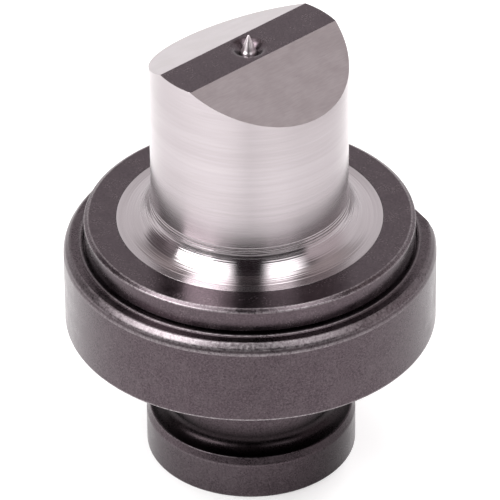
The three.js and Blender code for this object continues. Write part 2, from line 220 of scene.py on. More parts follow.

# how worn an edge or a face is, and where; values below 0 are painted shade, and the worn side is partly a
# painted highlight
DULL, RUBBED, SCUFFED, BRIGHT = 0.12, 0.25, 0.5, 0.9
PAINTED_SHADE = -0.85  # painted shade: a corner painted near black where shade falls
WEAR_AND_HIGHLIGHT_SIDE = math.radians(-125)  # the side that rubs most; its brighter bare steel is also a painted highlight
LEAST_WEAR = 0.3  # the share of the wear that is left round the back
PAINTED_SHADE_SIDE = math.radians(-68)  # painted shade: the side of the knob painted darker
PAINTED_SHADE_SPREAD = math.radians(32)
PAINTED_SHADE_STRENGTH = 0.7

# ---- shape helpers ----

GUARD = 0.12  # how far past a broken edge its wear reaches


def softened(corners):
    """Breaks each corner of a closed outline. A corner is (radius, height, break, wear), where wear below 0
    is painted shade, and one more number may give the wear of the face that follows it. The result is
    [(radius, height, wear)]: a short arc over each break, with a point of the face's own wear on each side
    of it."""
    points = []
    count = len(corners)
    for i, (r, z, size, wear_and_shade, *face) in enumerate(corners):
        here = Vector((r, z))
        face_before = corners[i - 1][4] if len(corners[i - 1]) > 4 else 0.0
        face_after = face[0] if face else 0.0
        if size == 0 or r == 0:
            points.append((r, z, wear_and_shade))
            continue
        before = (Vector(corners[i - 1][:2]) - here).normalized()
        after = (Vector(corners[(i + 1) % count][:2]) - here).normalized()
        points.append((*(here + before * (size + GUARD)), face_before))
        for k in range(CORNER_STEPS + 1):
            t = k / CORNER_STEPS
            p = here + before * size * (1 - t) ** 2 + after * size * t**2
            points.append((*p, wear_and_shade))
        points.append((*(here + after * (size + GUARD)), face_after))
    return points


def fillet(centre_r, centre_z, radius, start, end, steps, wear_and_shade=0.0):
    """Points of an arc, angles in degrees."""
    points = []
    for k in range(steps + 1):
        a = math.radians(start + (end - start) * k / steps)
        points.append((centre_r + radius * math.cos(a), centre_z + radius * math.sin(a), wear_and_shade))
    return points


def turned(name, outline, segments=SEGMENTS):
    """A solid of revolution from [(radius, height, wear)], where wear below 0 is painted shade. The outline
    closes on itself, or it starts and ends on the axis."""
    bm = bmesh.new()
    worn = bm.verts.layers.float.new("wear_and_shade")
    rings = []
    for r, z, wear_and_shade in outline:
        if r < 1e-6:
            ring = [bm.verts.new((0, 0, z * MM))] * segments
        else:
            angles = [2 * math.pi * k / segments for k in range(segments)]
            ring = [bm.verts.new((r * MM * math.cos(a), r * MM * math.sin(a), z * MM)) for a in angles]
        for v in ring:
            v[worn] = wear_and_shade
        rings.append(ring)
    if outline[0][0] > 0:
        rings.append(rings[0])
    for lower, upper in zip(rings, rings[1:]):
        for k in range(segments):
            j = (k + 1) % segments
            loop = [lower[k], lower[j], upper[j], upper[k]]
            face = [v for i, v in enumerate(loop) if v not in loop[:i]]
            if len(face) > 2:
                bm.faces.new(face)
    bmesh.ops.recalc_face_normals(bm, faces=bm.faces)
    return piece(name, bm)


def piece(name, bm):
    """A new object with this mesh, shaded smooth up to its sharp edges."""
    mesh = bpy.data.meshes.new(name)
    bm.to_mesh(mesh)
    bm.free()
    obj = bpy.data.objects.new(name, mesh)
    bpy.context.scene.collection.objects.link(obj)
    shade(obj)
    return obj


def shade(obj):
    obj.data.shade_smooth()
    obj.data.set_sharp_from_angle(angle=SHARP)


def slice_off(obj, point, normal, edge=0.0, worn=1.0):
    """Cuts away what lies past a plane, closes the cut flat, and breaks its edge by edge millimetres, worn
    as much as worn says."""
    bm = bmesh.new()
    bm.from_mesh(obj.data)
    cut = bmesh.ops.bisect_plane(
        bm,
        geom=[*bm.verts, *bm.edges, *bm.faces],
        plane_co=Vector(point) * MM,
        plane_no=Vector(normal),
        clear_outer=True,
        dist=SAME_PLACE,
    )
    rim = [e for e in cut["geom_cut"] if isinstance(e, bmesh.types.BMEdge) and e.is_boundary]
    bmesh.ops.holes_fill(bm, edges=rim, sides=0)
    rim = [e for e in rim if e.is_valid]
    if edge:
        made = bmesh.ops.bevel(
            bm, geom=rim, offset=edge * MM, segments=2, affect="EDGES", clamp_overlap=True
        )
        layer = bm.verts.layers.float["wear_and_shade"]
        for v in made["verts"]:
            v[layer] = worn
        if worn:  # the cut face, the largest, has none of its edge's wear
            flat = max(bm.faces, key=lambda face: face.calc_area())
            bmesh.ops.inset_region(bm, faces=[flat], thickness=GUARD * MM, use_even_offset=True)
            for v in flat.verts:
                v[layer] = 0.0
    bm.to_mesh(obj.data)
    bm.free()
    shade(obj)


def sharpen_borders(obj, indices):
    """Shades the faces with these material indices apart from their neighbours, so that flats stay flat."""
    beside = {}
    for face in obj.data.polygons:
        for key in face.edge_keys:
            beside.setdefault(key, set()).add(face.material_index)
    for edge in obj.data.edges:
        kinds = beside[edge.key]
        if len(kinds) > 1 and kinds & indices:
            edge.use_edge_sharp = True


def wear_and_highlight_towards(obj, azimuth, least):
    """Keeps the wear whole on the side at this azimuth, and lessens it to least round the back, so that side
    shows the most bare steel: partly wear, partly a painted highlight.
    """
    for vertex, value in zip(obj.data.vertices, obj.data.attributes["wear_and_shade"].data):
        turn = math.atan2(vertex.co.y, vertex.co.x) - azimuth
        value.value *= least + (1 - least) * max(0.0, math.cos(turn)) ** 2


def paint_shade_patch(obj, azimuth, bottom, top):
    """Paints a patch of shade on one side of the wall between two heights: painted shade."""
    for vertex, value in zip(obj.data.vertices, obj.data.attributes["wear_and_shade"].data):
        if bottom * MM <= vertex.co.z <= top * MM:
            turn = (math.atan2(vertex.co.y, vertex.co.x) - azimuth) / PAINTED_SHADE_SPREAD
            value.value += (PAINTED_SHADE - value.value) * PAINTED_SHADE_STRENGTH * math.exp(-turn * turn)


def round_bar(radius, bottom, top):
    """A cutter: a plain bar about Z."""
    r = radius * MM
    length = (top - bottom) * MM
    bm = bmesh.new()
    bmesh.ops.create_cone(bm, cap_ends=True, segments=CUTTER_SIDES, radius1=r, radius2=r, depth=length)
    bmesh.ops.translate(bm, verts=bm.verts, vec=(0, 0, (top + bottom) / 2 * MM))
    return piece("cutter", bm)


def drill(obj, cutters):
    """Takes the cutters out of the piece, and removes them."""
    for cutter in cutters:
        modifier = obj.modifiers.new("cut", "BOOLEAN")
        modifier.operation = "DIFFERENCE"
        modifier.solver = "EXACT"
        modifier.object = cutter
        graph = bpy.context.evaluated_depsgraph_get()
        mesh = bpy.data.meshes.new_from_object(obj.evaluated_get(graph))
        obj.modifiers.clear()
        obj.data = mesh
        bpy.data.objects.remove(cutter)
    shade(obj)


def moved(obj, matrix):
    """The same piece, with its mesh moved."""
    obj.data.transform(matrix)
    return obj


def side_hole(radius, start, end, height, azimuth):
    """A cutter for a hole that runs out from the axis between two distances from it."""
    upright = Matrix.Rotation(math.pi / 2, 4, "Y")
    at_height = Matrix.Translation((0, 0, height * MM))
    return moved(round_bar(radius, start, end), Matrix.Rotation(azimuth, 4, "Z") @ at_height @ upright)


def ride(obj, body, node):
    """Puts the piece on its body, in place of its CAD node."""
    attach(obj, body)
    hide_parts(node)


def finish_piece(obj, material, body, node):
    """Gives the piece its one material and puts it on its body."""
    obj.data.materials.clear()
    obj.data.materials.append(material)
    ride(obj, body, node)


# ---- material helpers ----


class Graph:
    """A node tree, with short calls for the nodes used here."""

    def __init__(self, tree):
        self.tree = tree
        self.tree.nodes.clear()

    def add(self, kind, **settings):
        node = self.tree.nodes.new(kind)
        for key, value in settings.items():
            setattr(node, key, value)
        return node

    def feed(self, socket, value):
        if isinstance(value, bpy.types.NodeSocket):
            self.tree.links.new(value, socket)
        else:
            socket.default_value = value

    def math(self, operation, *values):
        node = self.add("ShaderNodeMath", operation=operation)
        for socket, value in zip(node.inputs, values):
            self.feed(socket, value)
        return node.outputs[0]

    def vector(self, operation, *values):
        node = self.add("ShaderNodeVectorMath", operation=operation)
        for socket, value in zip(node.inputs, values):
            self.feed(socket, value)
        return node.outputs["Value" if operation in ("LENGTH", "DOT_PRODUCT") else "Vector"]

    def place_mm(self):
        """The point's own coordinates on the piece, in millimetres."""
        place = self.add("ShaderNodeTexCoord").outputs["Object"]
        return self.vector("MULTIPLY", place, (1000, 1000, 1000))

    def noise(self, vector, scale, detail=3.0, roughness=0.55, w=None):
        node = self.add("ShaderNodeTexNoise", noise_dimensions="3D" if w is None else "4D")
        self.feed(node.inputs["Vector"], vector)
        node.inputs["Scale"].default_value = scale
        node.inputs["Detail"].default_value = detail
        node.inputs["Roughness"].default_value = roughness
        if w is not None:
            self.feed(node.inputs["W"], w)
        return node.outputs["Fac"]

    def turning(self, across, around, detail=3.0):
        """Noise drawn out round the Z axis: across is its scale over the radius and height, around its
        scale on a unit circle."""
        place = self.place_mm()
        flat = self.vector("MULTIPLY", place, (1, 1, 0))
        radius = self.vector("LENGTH", flat)
        unit = self.vector("NORMALIZE", flat)
        ring = self.vector("MULTIPLY", unit, (around / across, around / across, 0))
        height = self.vector("MULTIPLY", place, (0, 0, 1))
        return self.noise(self.vector("ADD", ring, height), across, detail, w=radius)

    def ramp(self, value, *stops):
        """A smooth map from value to a grey or a colour. A stop is (position, grey or colour)."""
        node = self.add("ShaderNodeValToRGB")
        node.color_ramp.interpolation = "EASE"
        elements = node.color_ramp.elements
        while len(elements) < len(stops):
            elements.new(0.5)
        for element, (position, colour) in zip(elements, stops):
            element.position = position
            element.color = (*colour, 1) if isinstance(colour, tuple) else (colour, colour, colour, 1)
        self.feed(node.inputs[0], value)
        return node.outputs["Color"]

    def mix(self, factor, a, b):
        node = self.add("ShaderNodeMix", data_type="RGBA")
        for key, value in ((0, factor), (6, a), (7, b)):
            self.feed(node.inputs[key], value)
        return node.outputs[2]

    def range(self, value, low_out, high_out, low_in=0.0, high_in=1.0):
        node = self.add("ShaderNodeMapRange")
        for socket, number in zip(node.inputs, (value, low_in, high_in, low_out, high_out)):
            self.feed(socket, number)
        return node.outputs[0]

    def step(self, value, start, end):
        """0 before start and 1 after end, smooth between. Start may be the larger."""
        node = self.add("ShaderNodeMapRange", interpolation_type="SMOOTHSTEP")
        falls = start > end
        numbers = (value, min(start, end), max(start, end), float(falls), float(not falls))
        for socket, number in zip(node.inputs, numbers):
            self.feed(socket, number)
        return node.outputs[0]

    def product(self, first, *others):
        for other in others:
            first = self.math("MULTIPLY", first, other)
        return first

    # the wear attribute, which below 0 carries painted shade
    def wear_and_shade(self):
        return self.add("ShaderNodeAttribute", attribute_name="wear_and_shade").outputs["Fac"]

    def bump(self, height, depth_mm, under=None):
        node = self.add("ShaderNodeBump")
        node.inputs["Distance"].default_value = depth_mm * MM
        self.feed(node.inputs["Height"], height)
        if under is not None:
            self.feed(node.inputs["Normal"], under)
        return node.outputs[0]

    def around_axis(self):
        return self.add("ShaderNodeTangent", direction_type="RADIAL", axis="Z").outputs[0]


class MaterialGraph(Graph):
    """The node tree of one new material."""

    def __init__(self, name):
        self.material = bpy.data.materials.new(name)
        self.material.use_nodes = True
        super().__init__(self.material.node_tree)
        self.shader = self.add("ShaderNodeBsdfPrincipled")
        output = self.add("ShaderNodeOutputMaterial")
        self.feed(output.inputs["Surface"], self.shader.outputs[0])

    def surface(self, **sockets):
        """Feeds the shader's sockets, named with _ for a space, and gives back the material."""
        for key, value in sockets.items():
            self.feed(self.shader.inputs[key.replace("_", " ")], value)
        return self.material


STEEL = (0.425, 0.389, 0.403)
STEEL_WARM = (0.395, 0.360, 0.371)
BARE_SPECK = (0.16, 0.14, 0.145)
# painted shade: the near black colour given to shaded corners
PAINTED_SHADE_COLOUR = (0.004, 0.003, 0.003)


def turned_steel(name, smooth, rough, mark_depth, spread=0.92, tone=1.0):
    """Bright steel with turning and grinding marks that run round the axis. Its roughness goes from
    smooth to rough, and mark_depth is in millimetres."""
    g = MaterialGraph(name)
    fine = g.turning(8.0, 0.6)
    lines = g.turning(2.6, 0.35, 2.0)
    broad = g.turning(0.35, 0.8)
    colour = g.mix(g.ramp(broad, (0.35, 0.0), (0.7, 1.0)), (*STEEL, 1), (*STEEL_WARM, 1))
    streaks = g.turning(3.0, 0.9, 2.0)
    colour = g.vector("MULTIPLY", colour, g.range(streaks, 0.965 * tone, 1.035 * tone, 0.35, 0.65))
    normal = g.bump(fine, 0.0006)
    return g.surface(
        Base_Color=colour,
        Metallic=1.0,
        Roughness=g.range(fine, smooth, rough),
        Anisotropic=spread,
        Anisotropic_Rotation=0.25,
        Tangent=g.around_axis(),
        Normal=g.bump(lines, mark_depth, normal),
    )


def ground_slope_steel():
    """The two slopes of the roof: flat ground, with fine strokes along the ridge."""
    g = MaterialGraph("flat_ground_steel")
    place = g.place_mm()
    strokes = g.noise(g.vector("MULTIPLY", place, (0.12, 1, 1)), 5.0, 4.0)
    cloud = g.noise(place, 0.25, 2.0)
    colour = g.mix(g.ramp(cloud, (0.35, 0.0), (0.65, 1.0)), (*STEEL, 1), (*STEEL_WARM, 1))
    colour = g.vector("MULTIPLY", colour, g.range(strokes, 0.95, 1.05, 0.35, 0.65))
    return g.surface(
        Base_Color=colour,
        Metallic=1.0,
        Roughness=g.range(strokes, 0.24, 0.38),
        Normal=g.bump(strokes, 0.0012),
    )


def black_oxide(name, grain, turned_marks, rough, spread=0.0, tone=1.0):
    """Blackened steel. grain is the depth of its fine texture and turned_marks that of the marks round the
    axis, in millimetres. Worn edges show the steel, and wear below 0 is painted shade, near black, in a
    corner."""
    g = MaterialGraph(name)
    place = g.place_mm()
    speckle = g.noise(place, 3.4, 3.0, 0.7)
    cloud = g.noise(place, 0.3, 3.0)
    marks = g.turning(5.0, 0.9)
    dark = (0.066 * tone, 0.051 * tone, 0.058 * tone, 1)
    pale = (0.076 * tone, 0.060 * tone, 0.067 * tone, 1)
    colour = g.mix(g.ramp(cloud, (0.3, 0.0), (0.7, 1.0)), dark, pale)
    colour = g.vector("MULTIPLY", colour, g.range(speckle, 0.66, 1.34, 0.35, 0.65))
    colour = g.mix(g.ramp(speckle, (0.64, 0.0), (0.78, 0.45)), colour, (*BARE_SPECK, 1))
    chip = g.range(g.noise(place, 2.2, 5.0, 0.75), 0.15, 1.0, 0.38, 0.62)
    wear_and_shade = g.wear_and_shade()
    worn = g.math("MULTIPLY", g.math("MAXIMUM", wear_and_shade, 0.0), chip)
    # painted shade: wear below 0 darkens the colour to near black
    painted_shade = g.math("MULTIPLY", g.math("MINIMUM", wear_and_shade, 0.0), -0.9)
    colour = g.mix(painted_shade, colour, (*PAINTED_SHADE_COLOUR, 1))
    film = g.range(g.math("ADD", speckle, cloud), rough - 0.06, rough + 0.08, 0.7, 1.3)
    normal = g.bump(speckle, grain)
    normal = g.bump(marks, turned_marks, normal)
    return g.surface(
        Base_Color=g.mix(worn, colour, (*STEEL, 1)),
        Metallic=1.0,
        Roughness=g.math("MULTIPLY_ADD", worn, 0.35, film),
        Anisotropic=spread,
        Anisotropic_Rotation=0.25,
        Tangent=g.around_axis(),
        Normal=normal,
    )


def polished_steel(name, colour, roughness):
    """Bright metal with faint marks round the axis, for the pieces inside."""
    g = MaterialGraph(name)
    marks = g.turning(12.0, 1.5)
    dull = [c * 0.88 for c in colour]
    return g.surface(
        Base_Color=g.mix(g.ramp(marks, (0.4, 0.0), (0.7, 1.0)), (*colour, 1), (*dull, 1)),
        Metallic=1.0,
        Roughness=g.range(marks, roughness * 0.8, roughness * 1.3),
        Normal=g.bump(marks, 0.0006),
    )


def rubber():
    """Matt black rubber for the two seals."""
    g = MaterialGraph("seal_rubber")
    grain = g.noise(g.place_mm(), 9.0, 3.0)
    return g.surface(
        Base_Color=g.mix(grain, (0.015, 0.015, 0.016, 1), (0.03, 0.03, 0.031, 1)),
        Roughness=g.range(grain, 0.55, 0.8),
        Normal=g.bump(grain, 0.01),
    )


# ---- the standing pieces ----


def make_housing(steel):
    """The body: a recess for the cap with a raised lip round it, a bored inside, a flat and a screw hole."""
    floor = HOUSING_TOP - RECESS_DEPTH
    corners = [
        (SPIGOT_R + SPIGOT_GAP, SHOULDER + REGISTER_DEPTH, 0.05, DULL),
        (NECK_R + NECK_GAP, SHOULDER + REGISTER_DEPTH, 0.05, DULL),
        (NECK_R + NECK_GAP, SHOULDER, 0.1, DULL),
        (HOUSING_R, SHOULDER, 0.22, BRIGHT),
        (HOUSING_R, HOUSING_TOP - CHAMFER_START, 0.2, SCUFFED, DULL),
        (HOUSING_R - CHAMFER_BEND[0], HOUSING_TOP - CHAMFER_BEND[1], 0.25, SCUFFED, SCUFFED),
        (HOUSING_R - CHAMFER_WIDTH, HOUSING_TOP, 0.2, SCUFFED),
        (RECESS_R + LIP_WIDTH, HOUSING_TOP, 0.1, 0.0),
        (RECESS_R + LIP_CREST, HOUSING_TOP + LIP_HEIGHT, 0.14, SCUFFED),
        (RECESS_R, HOUSING_TOP + LIP_HEIGHT, 0.22, DULL),
        (RECESS_R, floor, 0.03, 0.0),
        (THREAD_R, floor, 0.1, DULL),
        (THREAD_R, SKIRT_BOTTOM - SKIRT_GAP, 0.1, 0.0),
        (RACE_SEAT_R, SKIRT_BOTTOM - SKIRT_GAP, 0.15, DULL),
        (RACE_SEAT_R, HOUSING_FLOOR, 0.2, 0.0),
        (RING_POCKET_R, HOUSING_FLOOR, 0.15, DULL),
        (RING_POCKET_R, RING_POCKET_FLOOR, 0.2, 0.0),
        (SPIGOT_R + SPIGOT_GAP, RING_POCKET_FLOOR, 0.15, DULL),
    ]
    housing = turned("housing_shell", softened(corners))
    slice_off(housing, (FLAT_DISTANCE, 0, 0), (1, 0, 0), edge=0.12, worn=SCUFFED)
    # the wear is strongest on one side: partly wear, partly a painted highlight
    wear_and_highlight_towards(housing, WEAR_AND_HIGHLIGHT_SIDE, LEAST_WEAR)
    drill(housing, [side_hole(LOCK_HOLE_R, LOCK_HOLE_START, HOUSING_R, LOCK_SCREW_Z, 0)])
    finish_piece(housing, steel, "housing_body", "housing")


def make_stud(steel):
    """The knob, the neck between two flanks, and the hollow spigot that goes up into the housing."""
    neck_top = SHOULDER + REGISTER_DEPTH - REGISTER_GAP
    head = softened(
        [
            (0, 0, 0, 0.0),
            (KNOB_R, 0, 0.3, DULL, DULL * 0.5),
            (KNOB_R, KNOB_TOP - KNOB_CHAMFER[1], 0.16, DULL),
            (KNOB_R - KNOB_CHAMFER[0], KNOB_TOP, 0.1, RUBBED),
            (NECK_R + NECK_FILLET + FILLET_STEP, KNOB_TOP, 0, PAINTED_SHADE),
        ]
    )
    fillet_top = KNOB_TOP + NECK_FILLET
    # painted shade: the fillet, the knob top beside it and the neck above it are painted near black
    groove = fillet(NECK_R + NECK_FILLET, fillet_top, NECK_FILLET, 270, 180, steps=24, wear_and_shade=PAINTED_SHADE)
    spigot = softened(
        [
            (NECK_R, fillet_top + FILLET_STEP, 0, PAINTED_SHADE),
            (NECK_R, fillet_top + SHADE_FADE, 0, 0.0),
            (NECK_R, neck_top, 0.15, DULL),
            (SPIGOT_R, neck_top, 0.1, 0.0),
            (SPIGOT_R, SPIGOT_TOP, 0.3, DULL),
            (STUD_BORE_R, SPIGOT_TOP, 0.2, DULL),
            (STUD_BORE_R, STUD_FLOOR, 0.3, 0.0),
            (0, STUD_FLOOR, 0, 0.0),
        ]
    )
    stud = turned("stud_body", head + groove + spigot)
    holes = []
    for side in (-1, 1):
        hole = round_bar(SPANNER_HOLE_R, -1, SPANNER_HOLE_DEPTH)
        holes.append(moved(hole, Matrix.Translation((0, side * SPANNER_PITCH_R * MM, 0))))
    drill(stud, holes)
    # painted shade: a darker patch on one side of the knob's wall, below its top
    paint_shade_patch(stud, PAINTED_SHADE_SIDE, 0, KNOB_TOP)
    finish_piece(stud, steel, "housing_body", "retention_stud")


def make_cap(steel):
    """The flange and the threaded skirt, with a groove outside, a seal pocket inside and a spanner hole."""
    seat = HOUSING_TOP - RECESS_DEPTH + SEAT_GAP
    skirt_r = THREAD_R - THREAD_GAP
    corners = [
        (RACE_SEAT_R, SKIRT_BOTTOM, 0.1, DULL),
        (skirt_r, SKIRT_BOTTOM, 0.3, DULL),
        (skirt_r, RING_GROOVE[0], 0.05, DULL),
        (RING_GROOVE_R, RING_GROOVE[0], 0.1, 0.0),
        (RING_GROOVE_R, RING_GROOVE[1], 0.1, 0.0),
        (skirt_r, RING_GROOVE[1], 0.05, 0.0),
        (skirt_r, seat, 0.05, 0.0),
        (RELIEF_R, seat, 0.1, 0.0),
        (RELIEF_R, RELIEF_TOP, 0.2, 0.0),
        (CAP_R, RELIEF_TOP, 0.12, DULL),
        (CAP_R, CAP_TOP - CAP_CHAMFER[1], 0.1, SCUFFED, DULL),
        (CAP_R - CAP_CHAMFER[0], CAP_TOP, 0.08, SCUFFED),
        (CAP_BORE_R, CAP_TOP, 0.04, DULL),
        (CAP_BORE_R, SEAL_POCKET[1], 0.05, 0.0),
        (SEAL_POCKET_R, SEAL_POCKET[1], 0.1, 0.0),
        (SEAL_POCKET_R, SEAL_POCKET[0], 0.1, 0.0),
        (CAP_BORE_R, SEAL_POCKET[0], 0.05, 0.0),
        (CAP_BORE_R, CAP_FLOOR, 0.1, 0.0),
        (RACE_SEAT_R, CAP_FLOOR, 0.1, 0.0),
    ]
    cap = turned("cap_ring", softened(corners))
    drill(cap, [side_hole(HOOK_HOLE_R, *HOOK_HOLE, HOOK_HOLE_Z, HOOK_HOLE_AZIMUTH)])
    finish_piece(cap, steel, "housing_body", "front_cap")


# ---- the nose ----

# the marks of the turning tool in the nose's fillet: distances are along it, from the post
TOOL_MARK_STEPS = 200
TOOL_MARK_SEED = 11
COARSE_DEPTH, COARSE_PITCH, COARSE_REACH = 0.026, 0.47, 1.6
FINE_DEPTH, FINE_PITCHES, FINE_COUNT = 0.0045, (0.25, 0.65), 7
LAST_MARK, LAST_DEPTH, LAST_WIDTH = 6.85, 0.03, 0.12
FADE_IN, FADE_OUT = 0.15, 0.3  # the marks die away at both ends


def tool_marks():
    """The fillet of the nose, with the ridges that the turning tool left: coarse ones where the fillet
    leaves the post, fine ones further out, and one where it meets the foot's face."""
    chance = random.Random(TOOL_MARK_SEED)
    waves = [(chance.uniform(*FINE_PITCHES), chance.uniform(0, 2 * math.pi)) for _ in range(FINE_COUNT)]
    centre_r, centre_z = NOSE_R + NOSE_FILLET, CAP_TOP + NOSE_FILLET
    points = []
    for k in range(TOOL_MARK_STEPS + 1):
        turn = math.radians(90) * k / TOOL_MARK_STEPS
        along = NOSE_FILLET * turn
        fade = min(1.0, along / FADE_IN, (NOSE_FILLET * math.pi / 2 - along) / FADE_OUT)
        coarse = COARSE_DEPTH * math.sin(2 * math.pi * along / COARSE_PITCH)
        coarse *= math.exp(-((along / COARSE_REACH) ** 4))
        fine = sum(FINE_DEPTH * math.sin(2 * math.pi * along / pitch + phase) for pitch, phase in waves)
        last = LAST_DEPTH * math.exp(-(((along - LAST_MARK) / LAST_WIDTH) ** 2))
        radius = NOSE_FILLET + (coarse + fine + last) * max(0.0, fade)
        points.append((centre_r - radius * math.cos(turn), centre_z - radius * math.sin(turn), 0.0))
    return points


PLAIN, SLOPE, STRIP, FILLET = range(4)  # the finishes of the nose


def nose_finish(face):
    """Which finish a face of the nose has, from where it is and which way it looks."""
    round_r = face.center.to_2d().length / MM
    height = face.center.z / MM
    flat_up = face.normal.z > 0.999
    in_countersink = round_r < COUNTERSINK_R + COUNTERSINK_EDGE + GUARD
    on_slope = abs(face.normal.z - math.cos(ROOF_SLOPE)) < 0.002 and abs(face.normal.x) < 0.02
    last_r = NOSE_R + NOSE_FILLET * (1 - math.cos(LAST_MARK / NOSE_FILLET))
    if height > RIDGE - COUNTERSINK_DEPTH - 0.1 and (flat_up or in_countersink):
        return STRIP
    if height > CAP_TOP + NOSE_FILLET + 1 and on_slope:
        return SLOPE
    if height > CAP_TOP + 0.01 and NOSE_R < round_r < last_r:
        return FILLET
    return PLAIN


def make_nose(finishes):
    """The spindle in one piece. It is modelled with its ridge along X, and its object is turned."""
    below = softened(
        [
            (BORE_R, SPINDLE_BOTTOM, 0.2, 0.0),
            (TAIL_R, SPINDLE_BOTTOM, 0.3, 0.0),
            (TAIL_R, TAIL_TOP, 0.1, 0.0),
            (NEEDLE_JOURNAL_R, TAIL_TOP, 0.2, 0.0),
            (NEEDLE_JOURNAL_R, NEEDLE_JOURNAL_TOP, 0.2, 0.0),
            (HUB_CONE_R, HUB_BOTTOM, 0.2, 0.0),
            (RACE_JOURNAL_R, HUB_BOTTOM, 0.3, 0.0),
            (RACE_JOURNAL_R, SNAP_GROOVE[0], 0.05, 0.0),
            (SNAP_GROOVE_R, SNAP_GROOVE[0], 0.1, 0.0),
            (SNAP_GROOVE_R, SNAP_GROOVE[1], 0.1, 0.0),
            (RACE_JOURNAL_R, SNAP_GROOVE[1], 0.05, 0.0),
            (RACE_JOURNAL_R, RACE_STOP, 0.3, 0.0),
            (RACE_STOP_R, RACE_STOP, 0.2, 0.0),
            (RACE_STOP_R, FOOT_BOTTOM, 0.1, 0.0),
            (FOOT_R, FOOT_BOTTOM, 0.15, 0.0),
            (FOOT_R, CAP_TOP, 0.03, 0.0),
            (FOOT_R - 0.5, CAP_TOP, 0, 0.0),
        ]
    )
    above = softened(
        [
            (NOSE_R, CAP_TOP + NOSE_FILLET + 0.5, 0, 0.0),
            (NOSE_R, RIDGE, 0.03, 0.0),
            (COUNTERSINK_R, RIDGE, COUNTERSINK_EDGE, 0.0),
            (POINT_R + POINT_GAP, RIDGE - COUNTERSINK_DEPTH, 0.05, 0.0),
            (POINT_R + POINT_GAP, BORE_TOP, 0.1, 0.0),
            (BORE_R, BORE_TOP, 0.1, 0.0),
        ]
    )
    nose = turned("nose", below + tool_marks()[::-1] + above)
    for side in (-1, 1):
        point = (0, side * RIDGE_WIDTH / 2, RIDGE)
        normal = (0, side * math.sin(ROOF_SLOPE), math.cos(ROOF_SLOPE))
        slice_off(nose, point, normal, edge=0.05, worn=0.0)
    for kind in (PLAIN, SLOPE, STRIP, FILLET):
        nose.data.materials.append(finishes[kind])
    for face in nose.data.polygons:
        face.material_index = nose_finish(face)
    sharpen_borders(nose, {SLOPE, STRIP})
    nose.rotation_euler.z = RIDGE_AZIMUTH
    ride(nose, "spindle", "nose_spindle")


def make_point(material):
    """The pin, with a collar that stops it under the strip."""
    shape = softened(
        [
            (0, POINT_BOTTOM, 0, 0.0),
            (POINT_STEM_R, POINT_BOTTOM, 0.2, 0.0),
            (POINT_STEM_R, COLLAR[0], 0.1, 0.0),
            (COLLAR_R, COLLAR[0], 0.2, 0.0),
            (COLLAR_R, COLLAR[1], 0.2, 0.0),
            (POINT_R, COLLAR[1], 0.1, 0.0),
            (POINT_R, POINT_SHOULDER, 0.06, 0.0),
            (POINT_CONE_R, POINT_SHOULDER + POINT_CONE_FOOT, 0.2, 0.0),
            (POINT_BELLY[0], TIP - POINT_BELLY[1], 0.4, 0.0),
            (POINT_END[0], TIP - POINT_END[1], 0.06, 0.0),
            (0, TIP, 0, 0.0),
        ]
    )
    point = turned("pin", shape, SMALL_SEGMENTS)
    finish_piece(point, material, "centre_point", "centre_point")


def make_spring(material):
    """The coil behind the point."""
    bm = bmesh.new()
    steps = SPRING_TURNS * COIL_STEPS
    lowest, highest = SPRING_BOTTOM + WIRE_R, SPRING_TOP - WIRE_R
    rings = []
    for k in range(steps + 1):
        turn = Matrix.Rotation(2 * math.pi * SPRING_TURNS * k / steps, 3, "Z")
        height = lowest + (highest - lowest) * k / steps
        ring = []
        for side in range(WIRE_SIDES):
            a = 2 * math.pi * side / WIRE_SIDES
            section = Vector((SPRING_R + WIRE_R * math.cos(a), 0, height + WIRE_R * math.sin(a)))
            ring.append(bm.verts.new(turn @ section * MM))
        rings.append(ring)
    for ring, after in zip(rings, rings[1:]):
        for side in range(WIRE_SIDES):
            j = (side + 1) % WIRE_SIDES
            bm.faces.new((ring[side], ring[j], after[j], after[side]))
    for end in (rings[0], rings[-1]):
        bm.faces.new(end)
    bmesh.ops.recalc_face_normals(bm, faces=bm.faces)
    spring = piece("coil", bm)
    finish_piece(spring, material, "spindle", "point_spring")
    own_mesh(spring)


def rolling_pieces(kind, count):
    """Each node of one rolling set with its number, its middle and half its height."""
    for number in range(1, count + 1):
        node = f"{kind}_{number:02d}"
        yield node, f"{number:02d}", (low(node) + high(node)) / 2, (high(node).z - low(node).z) / 2


def make_balls(kind, count, body, name, material):
    """Round balls in place of one bearing's faceted ones."""
    for node, number, middle, radius in rolling_pieces(kind, count):
        bm = bmesh.new()
        bmesh.ops.create_uvsphere(
            bm, u_segments=ROLLING_SEGMENTS, v_segments=ROLLING_SEGMENTS // 2, radius=radius * MM
        )
        ball = moved(piece(f"{name}_{number}", bm), Matrix.Translation(middle * MM))
        finish_piece(ball, material, body, node)


def make_needles(kind, count, body, name, material):
    """Upright needles with broken ends, in place of the faceted ones."""
    for node, number, middle, half in rolling_pieces(kind, count):
        outline = softened(
            [
                (0, -half, 0, 0.0),
                (NEEDLE_R, -half, 0.25, 0.0),
                (NEEDLE_R, half, 0.25, 0.0),
                (0, half, 0, 0.0),
            ]
        )
        roller = turned(f"{name}_{number}", outline, ROLLING_SEGMENTS)
        moved(roller, Matrix.Translation(middle * MM))
        finish_piece(roller, material, body, node)


def rounded_copy(node, body, material):
    """A piece with the node's own shape, whose round faces are shaded round."""
    bm = bmesh.new()
    bm.from_mesh(node.data)
    bmesh.ops.remove_doubles(bm, verts=bm.verts, dist=SAME_PLACE)
    bmesh.ops.transform(bm, matrix=node.matrix_world, verts=bm.verts)
    copy = piece(f"fine_{node.name}", bm)
    if "custom_normal" in copy.data.attributes:
        copy.data.attributes.remove(copy.data.attributes["custom_normal"])
    shade(copy)
    finish_piece(copy, material, body, node.name)


# ---- camera, floor and light ----

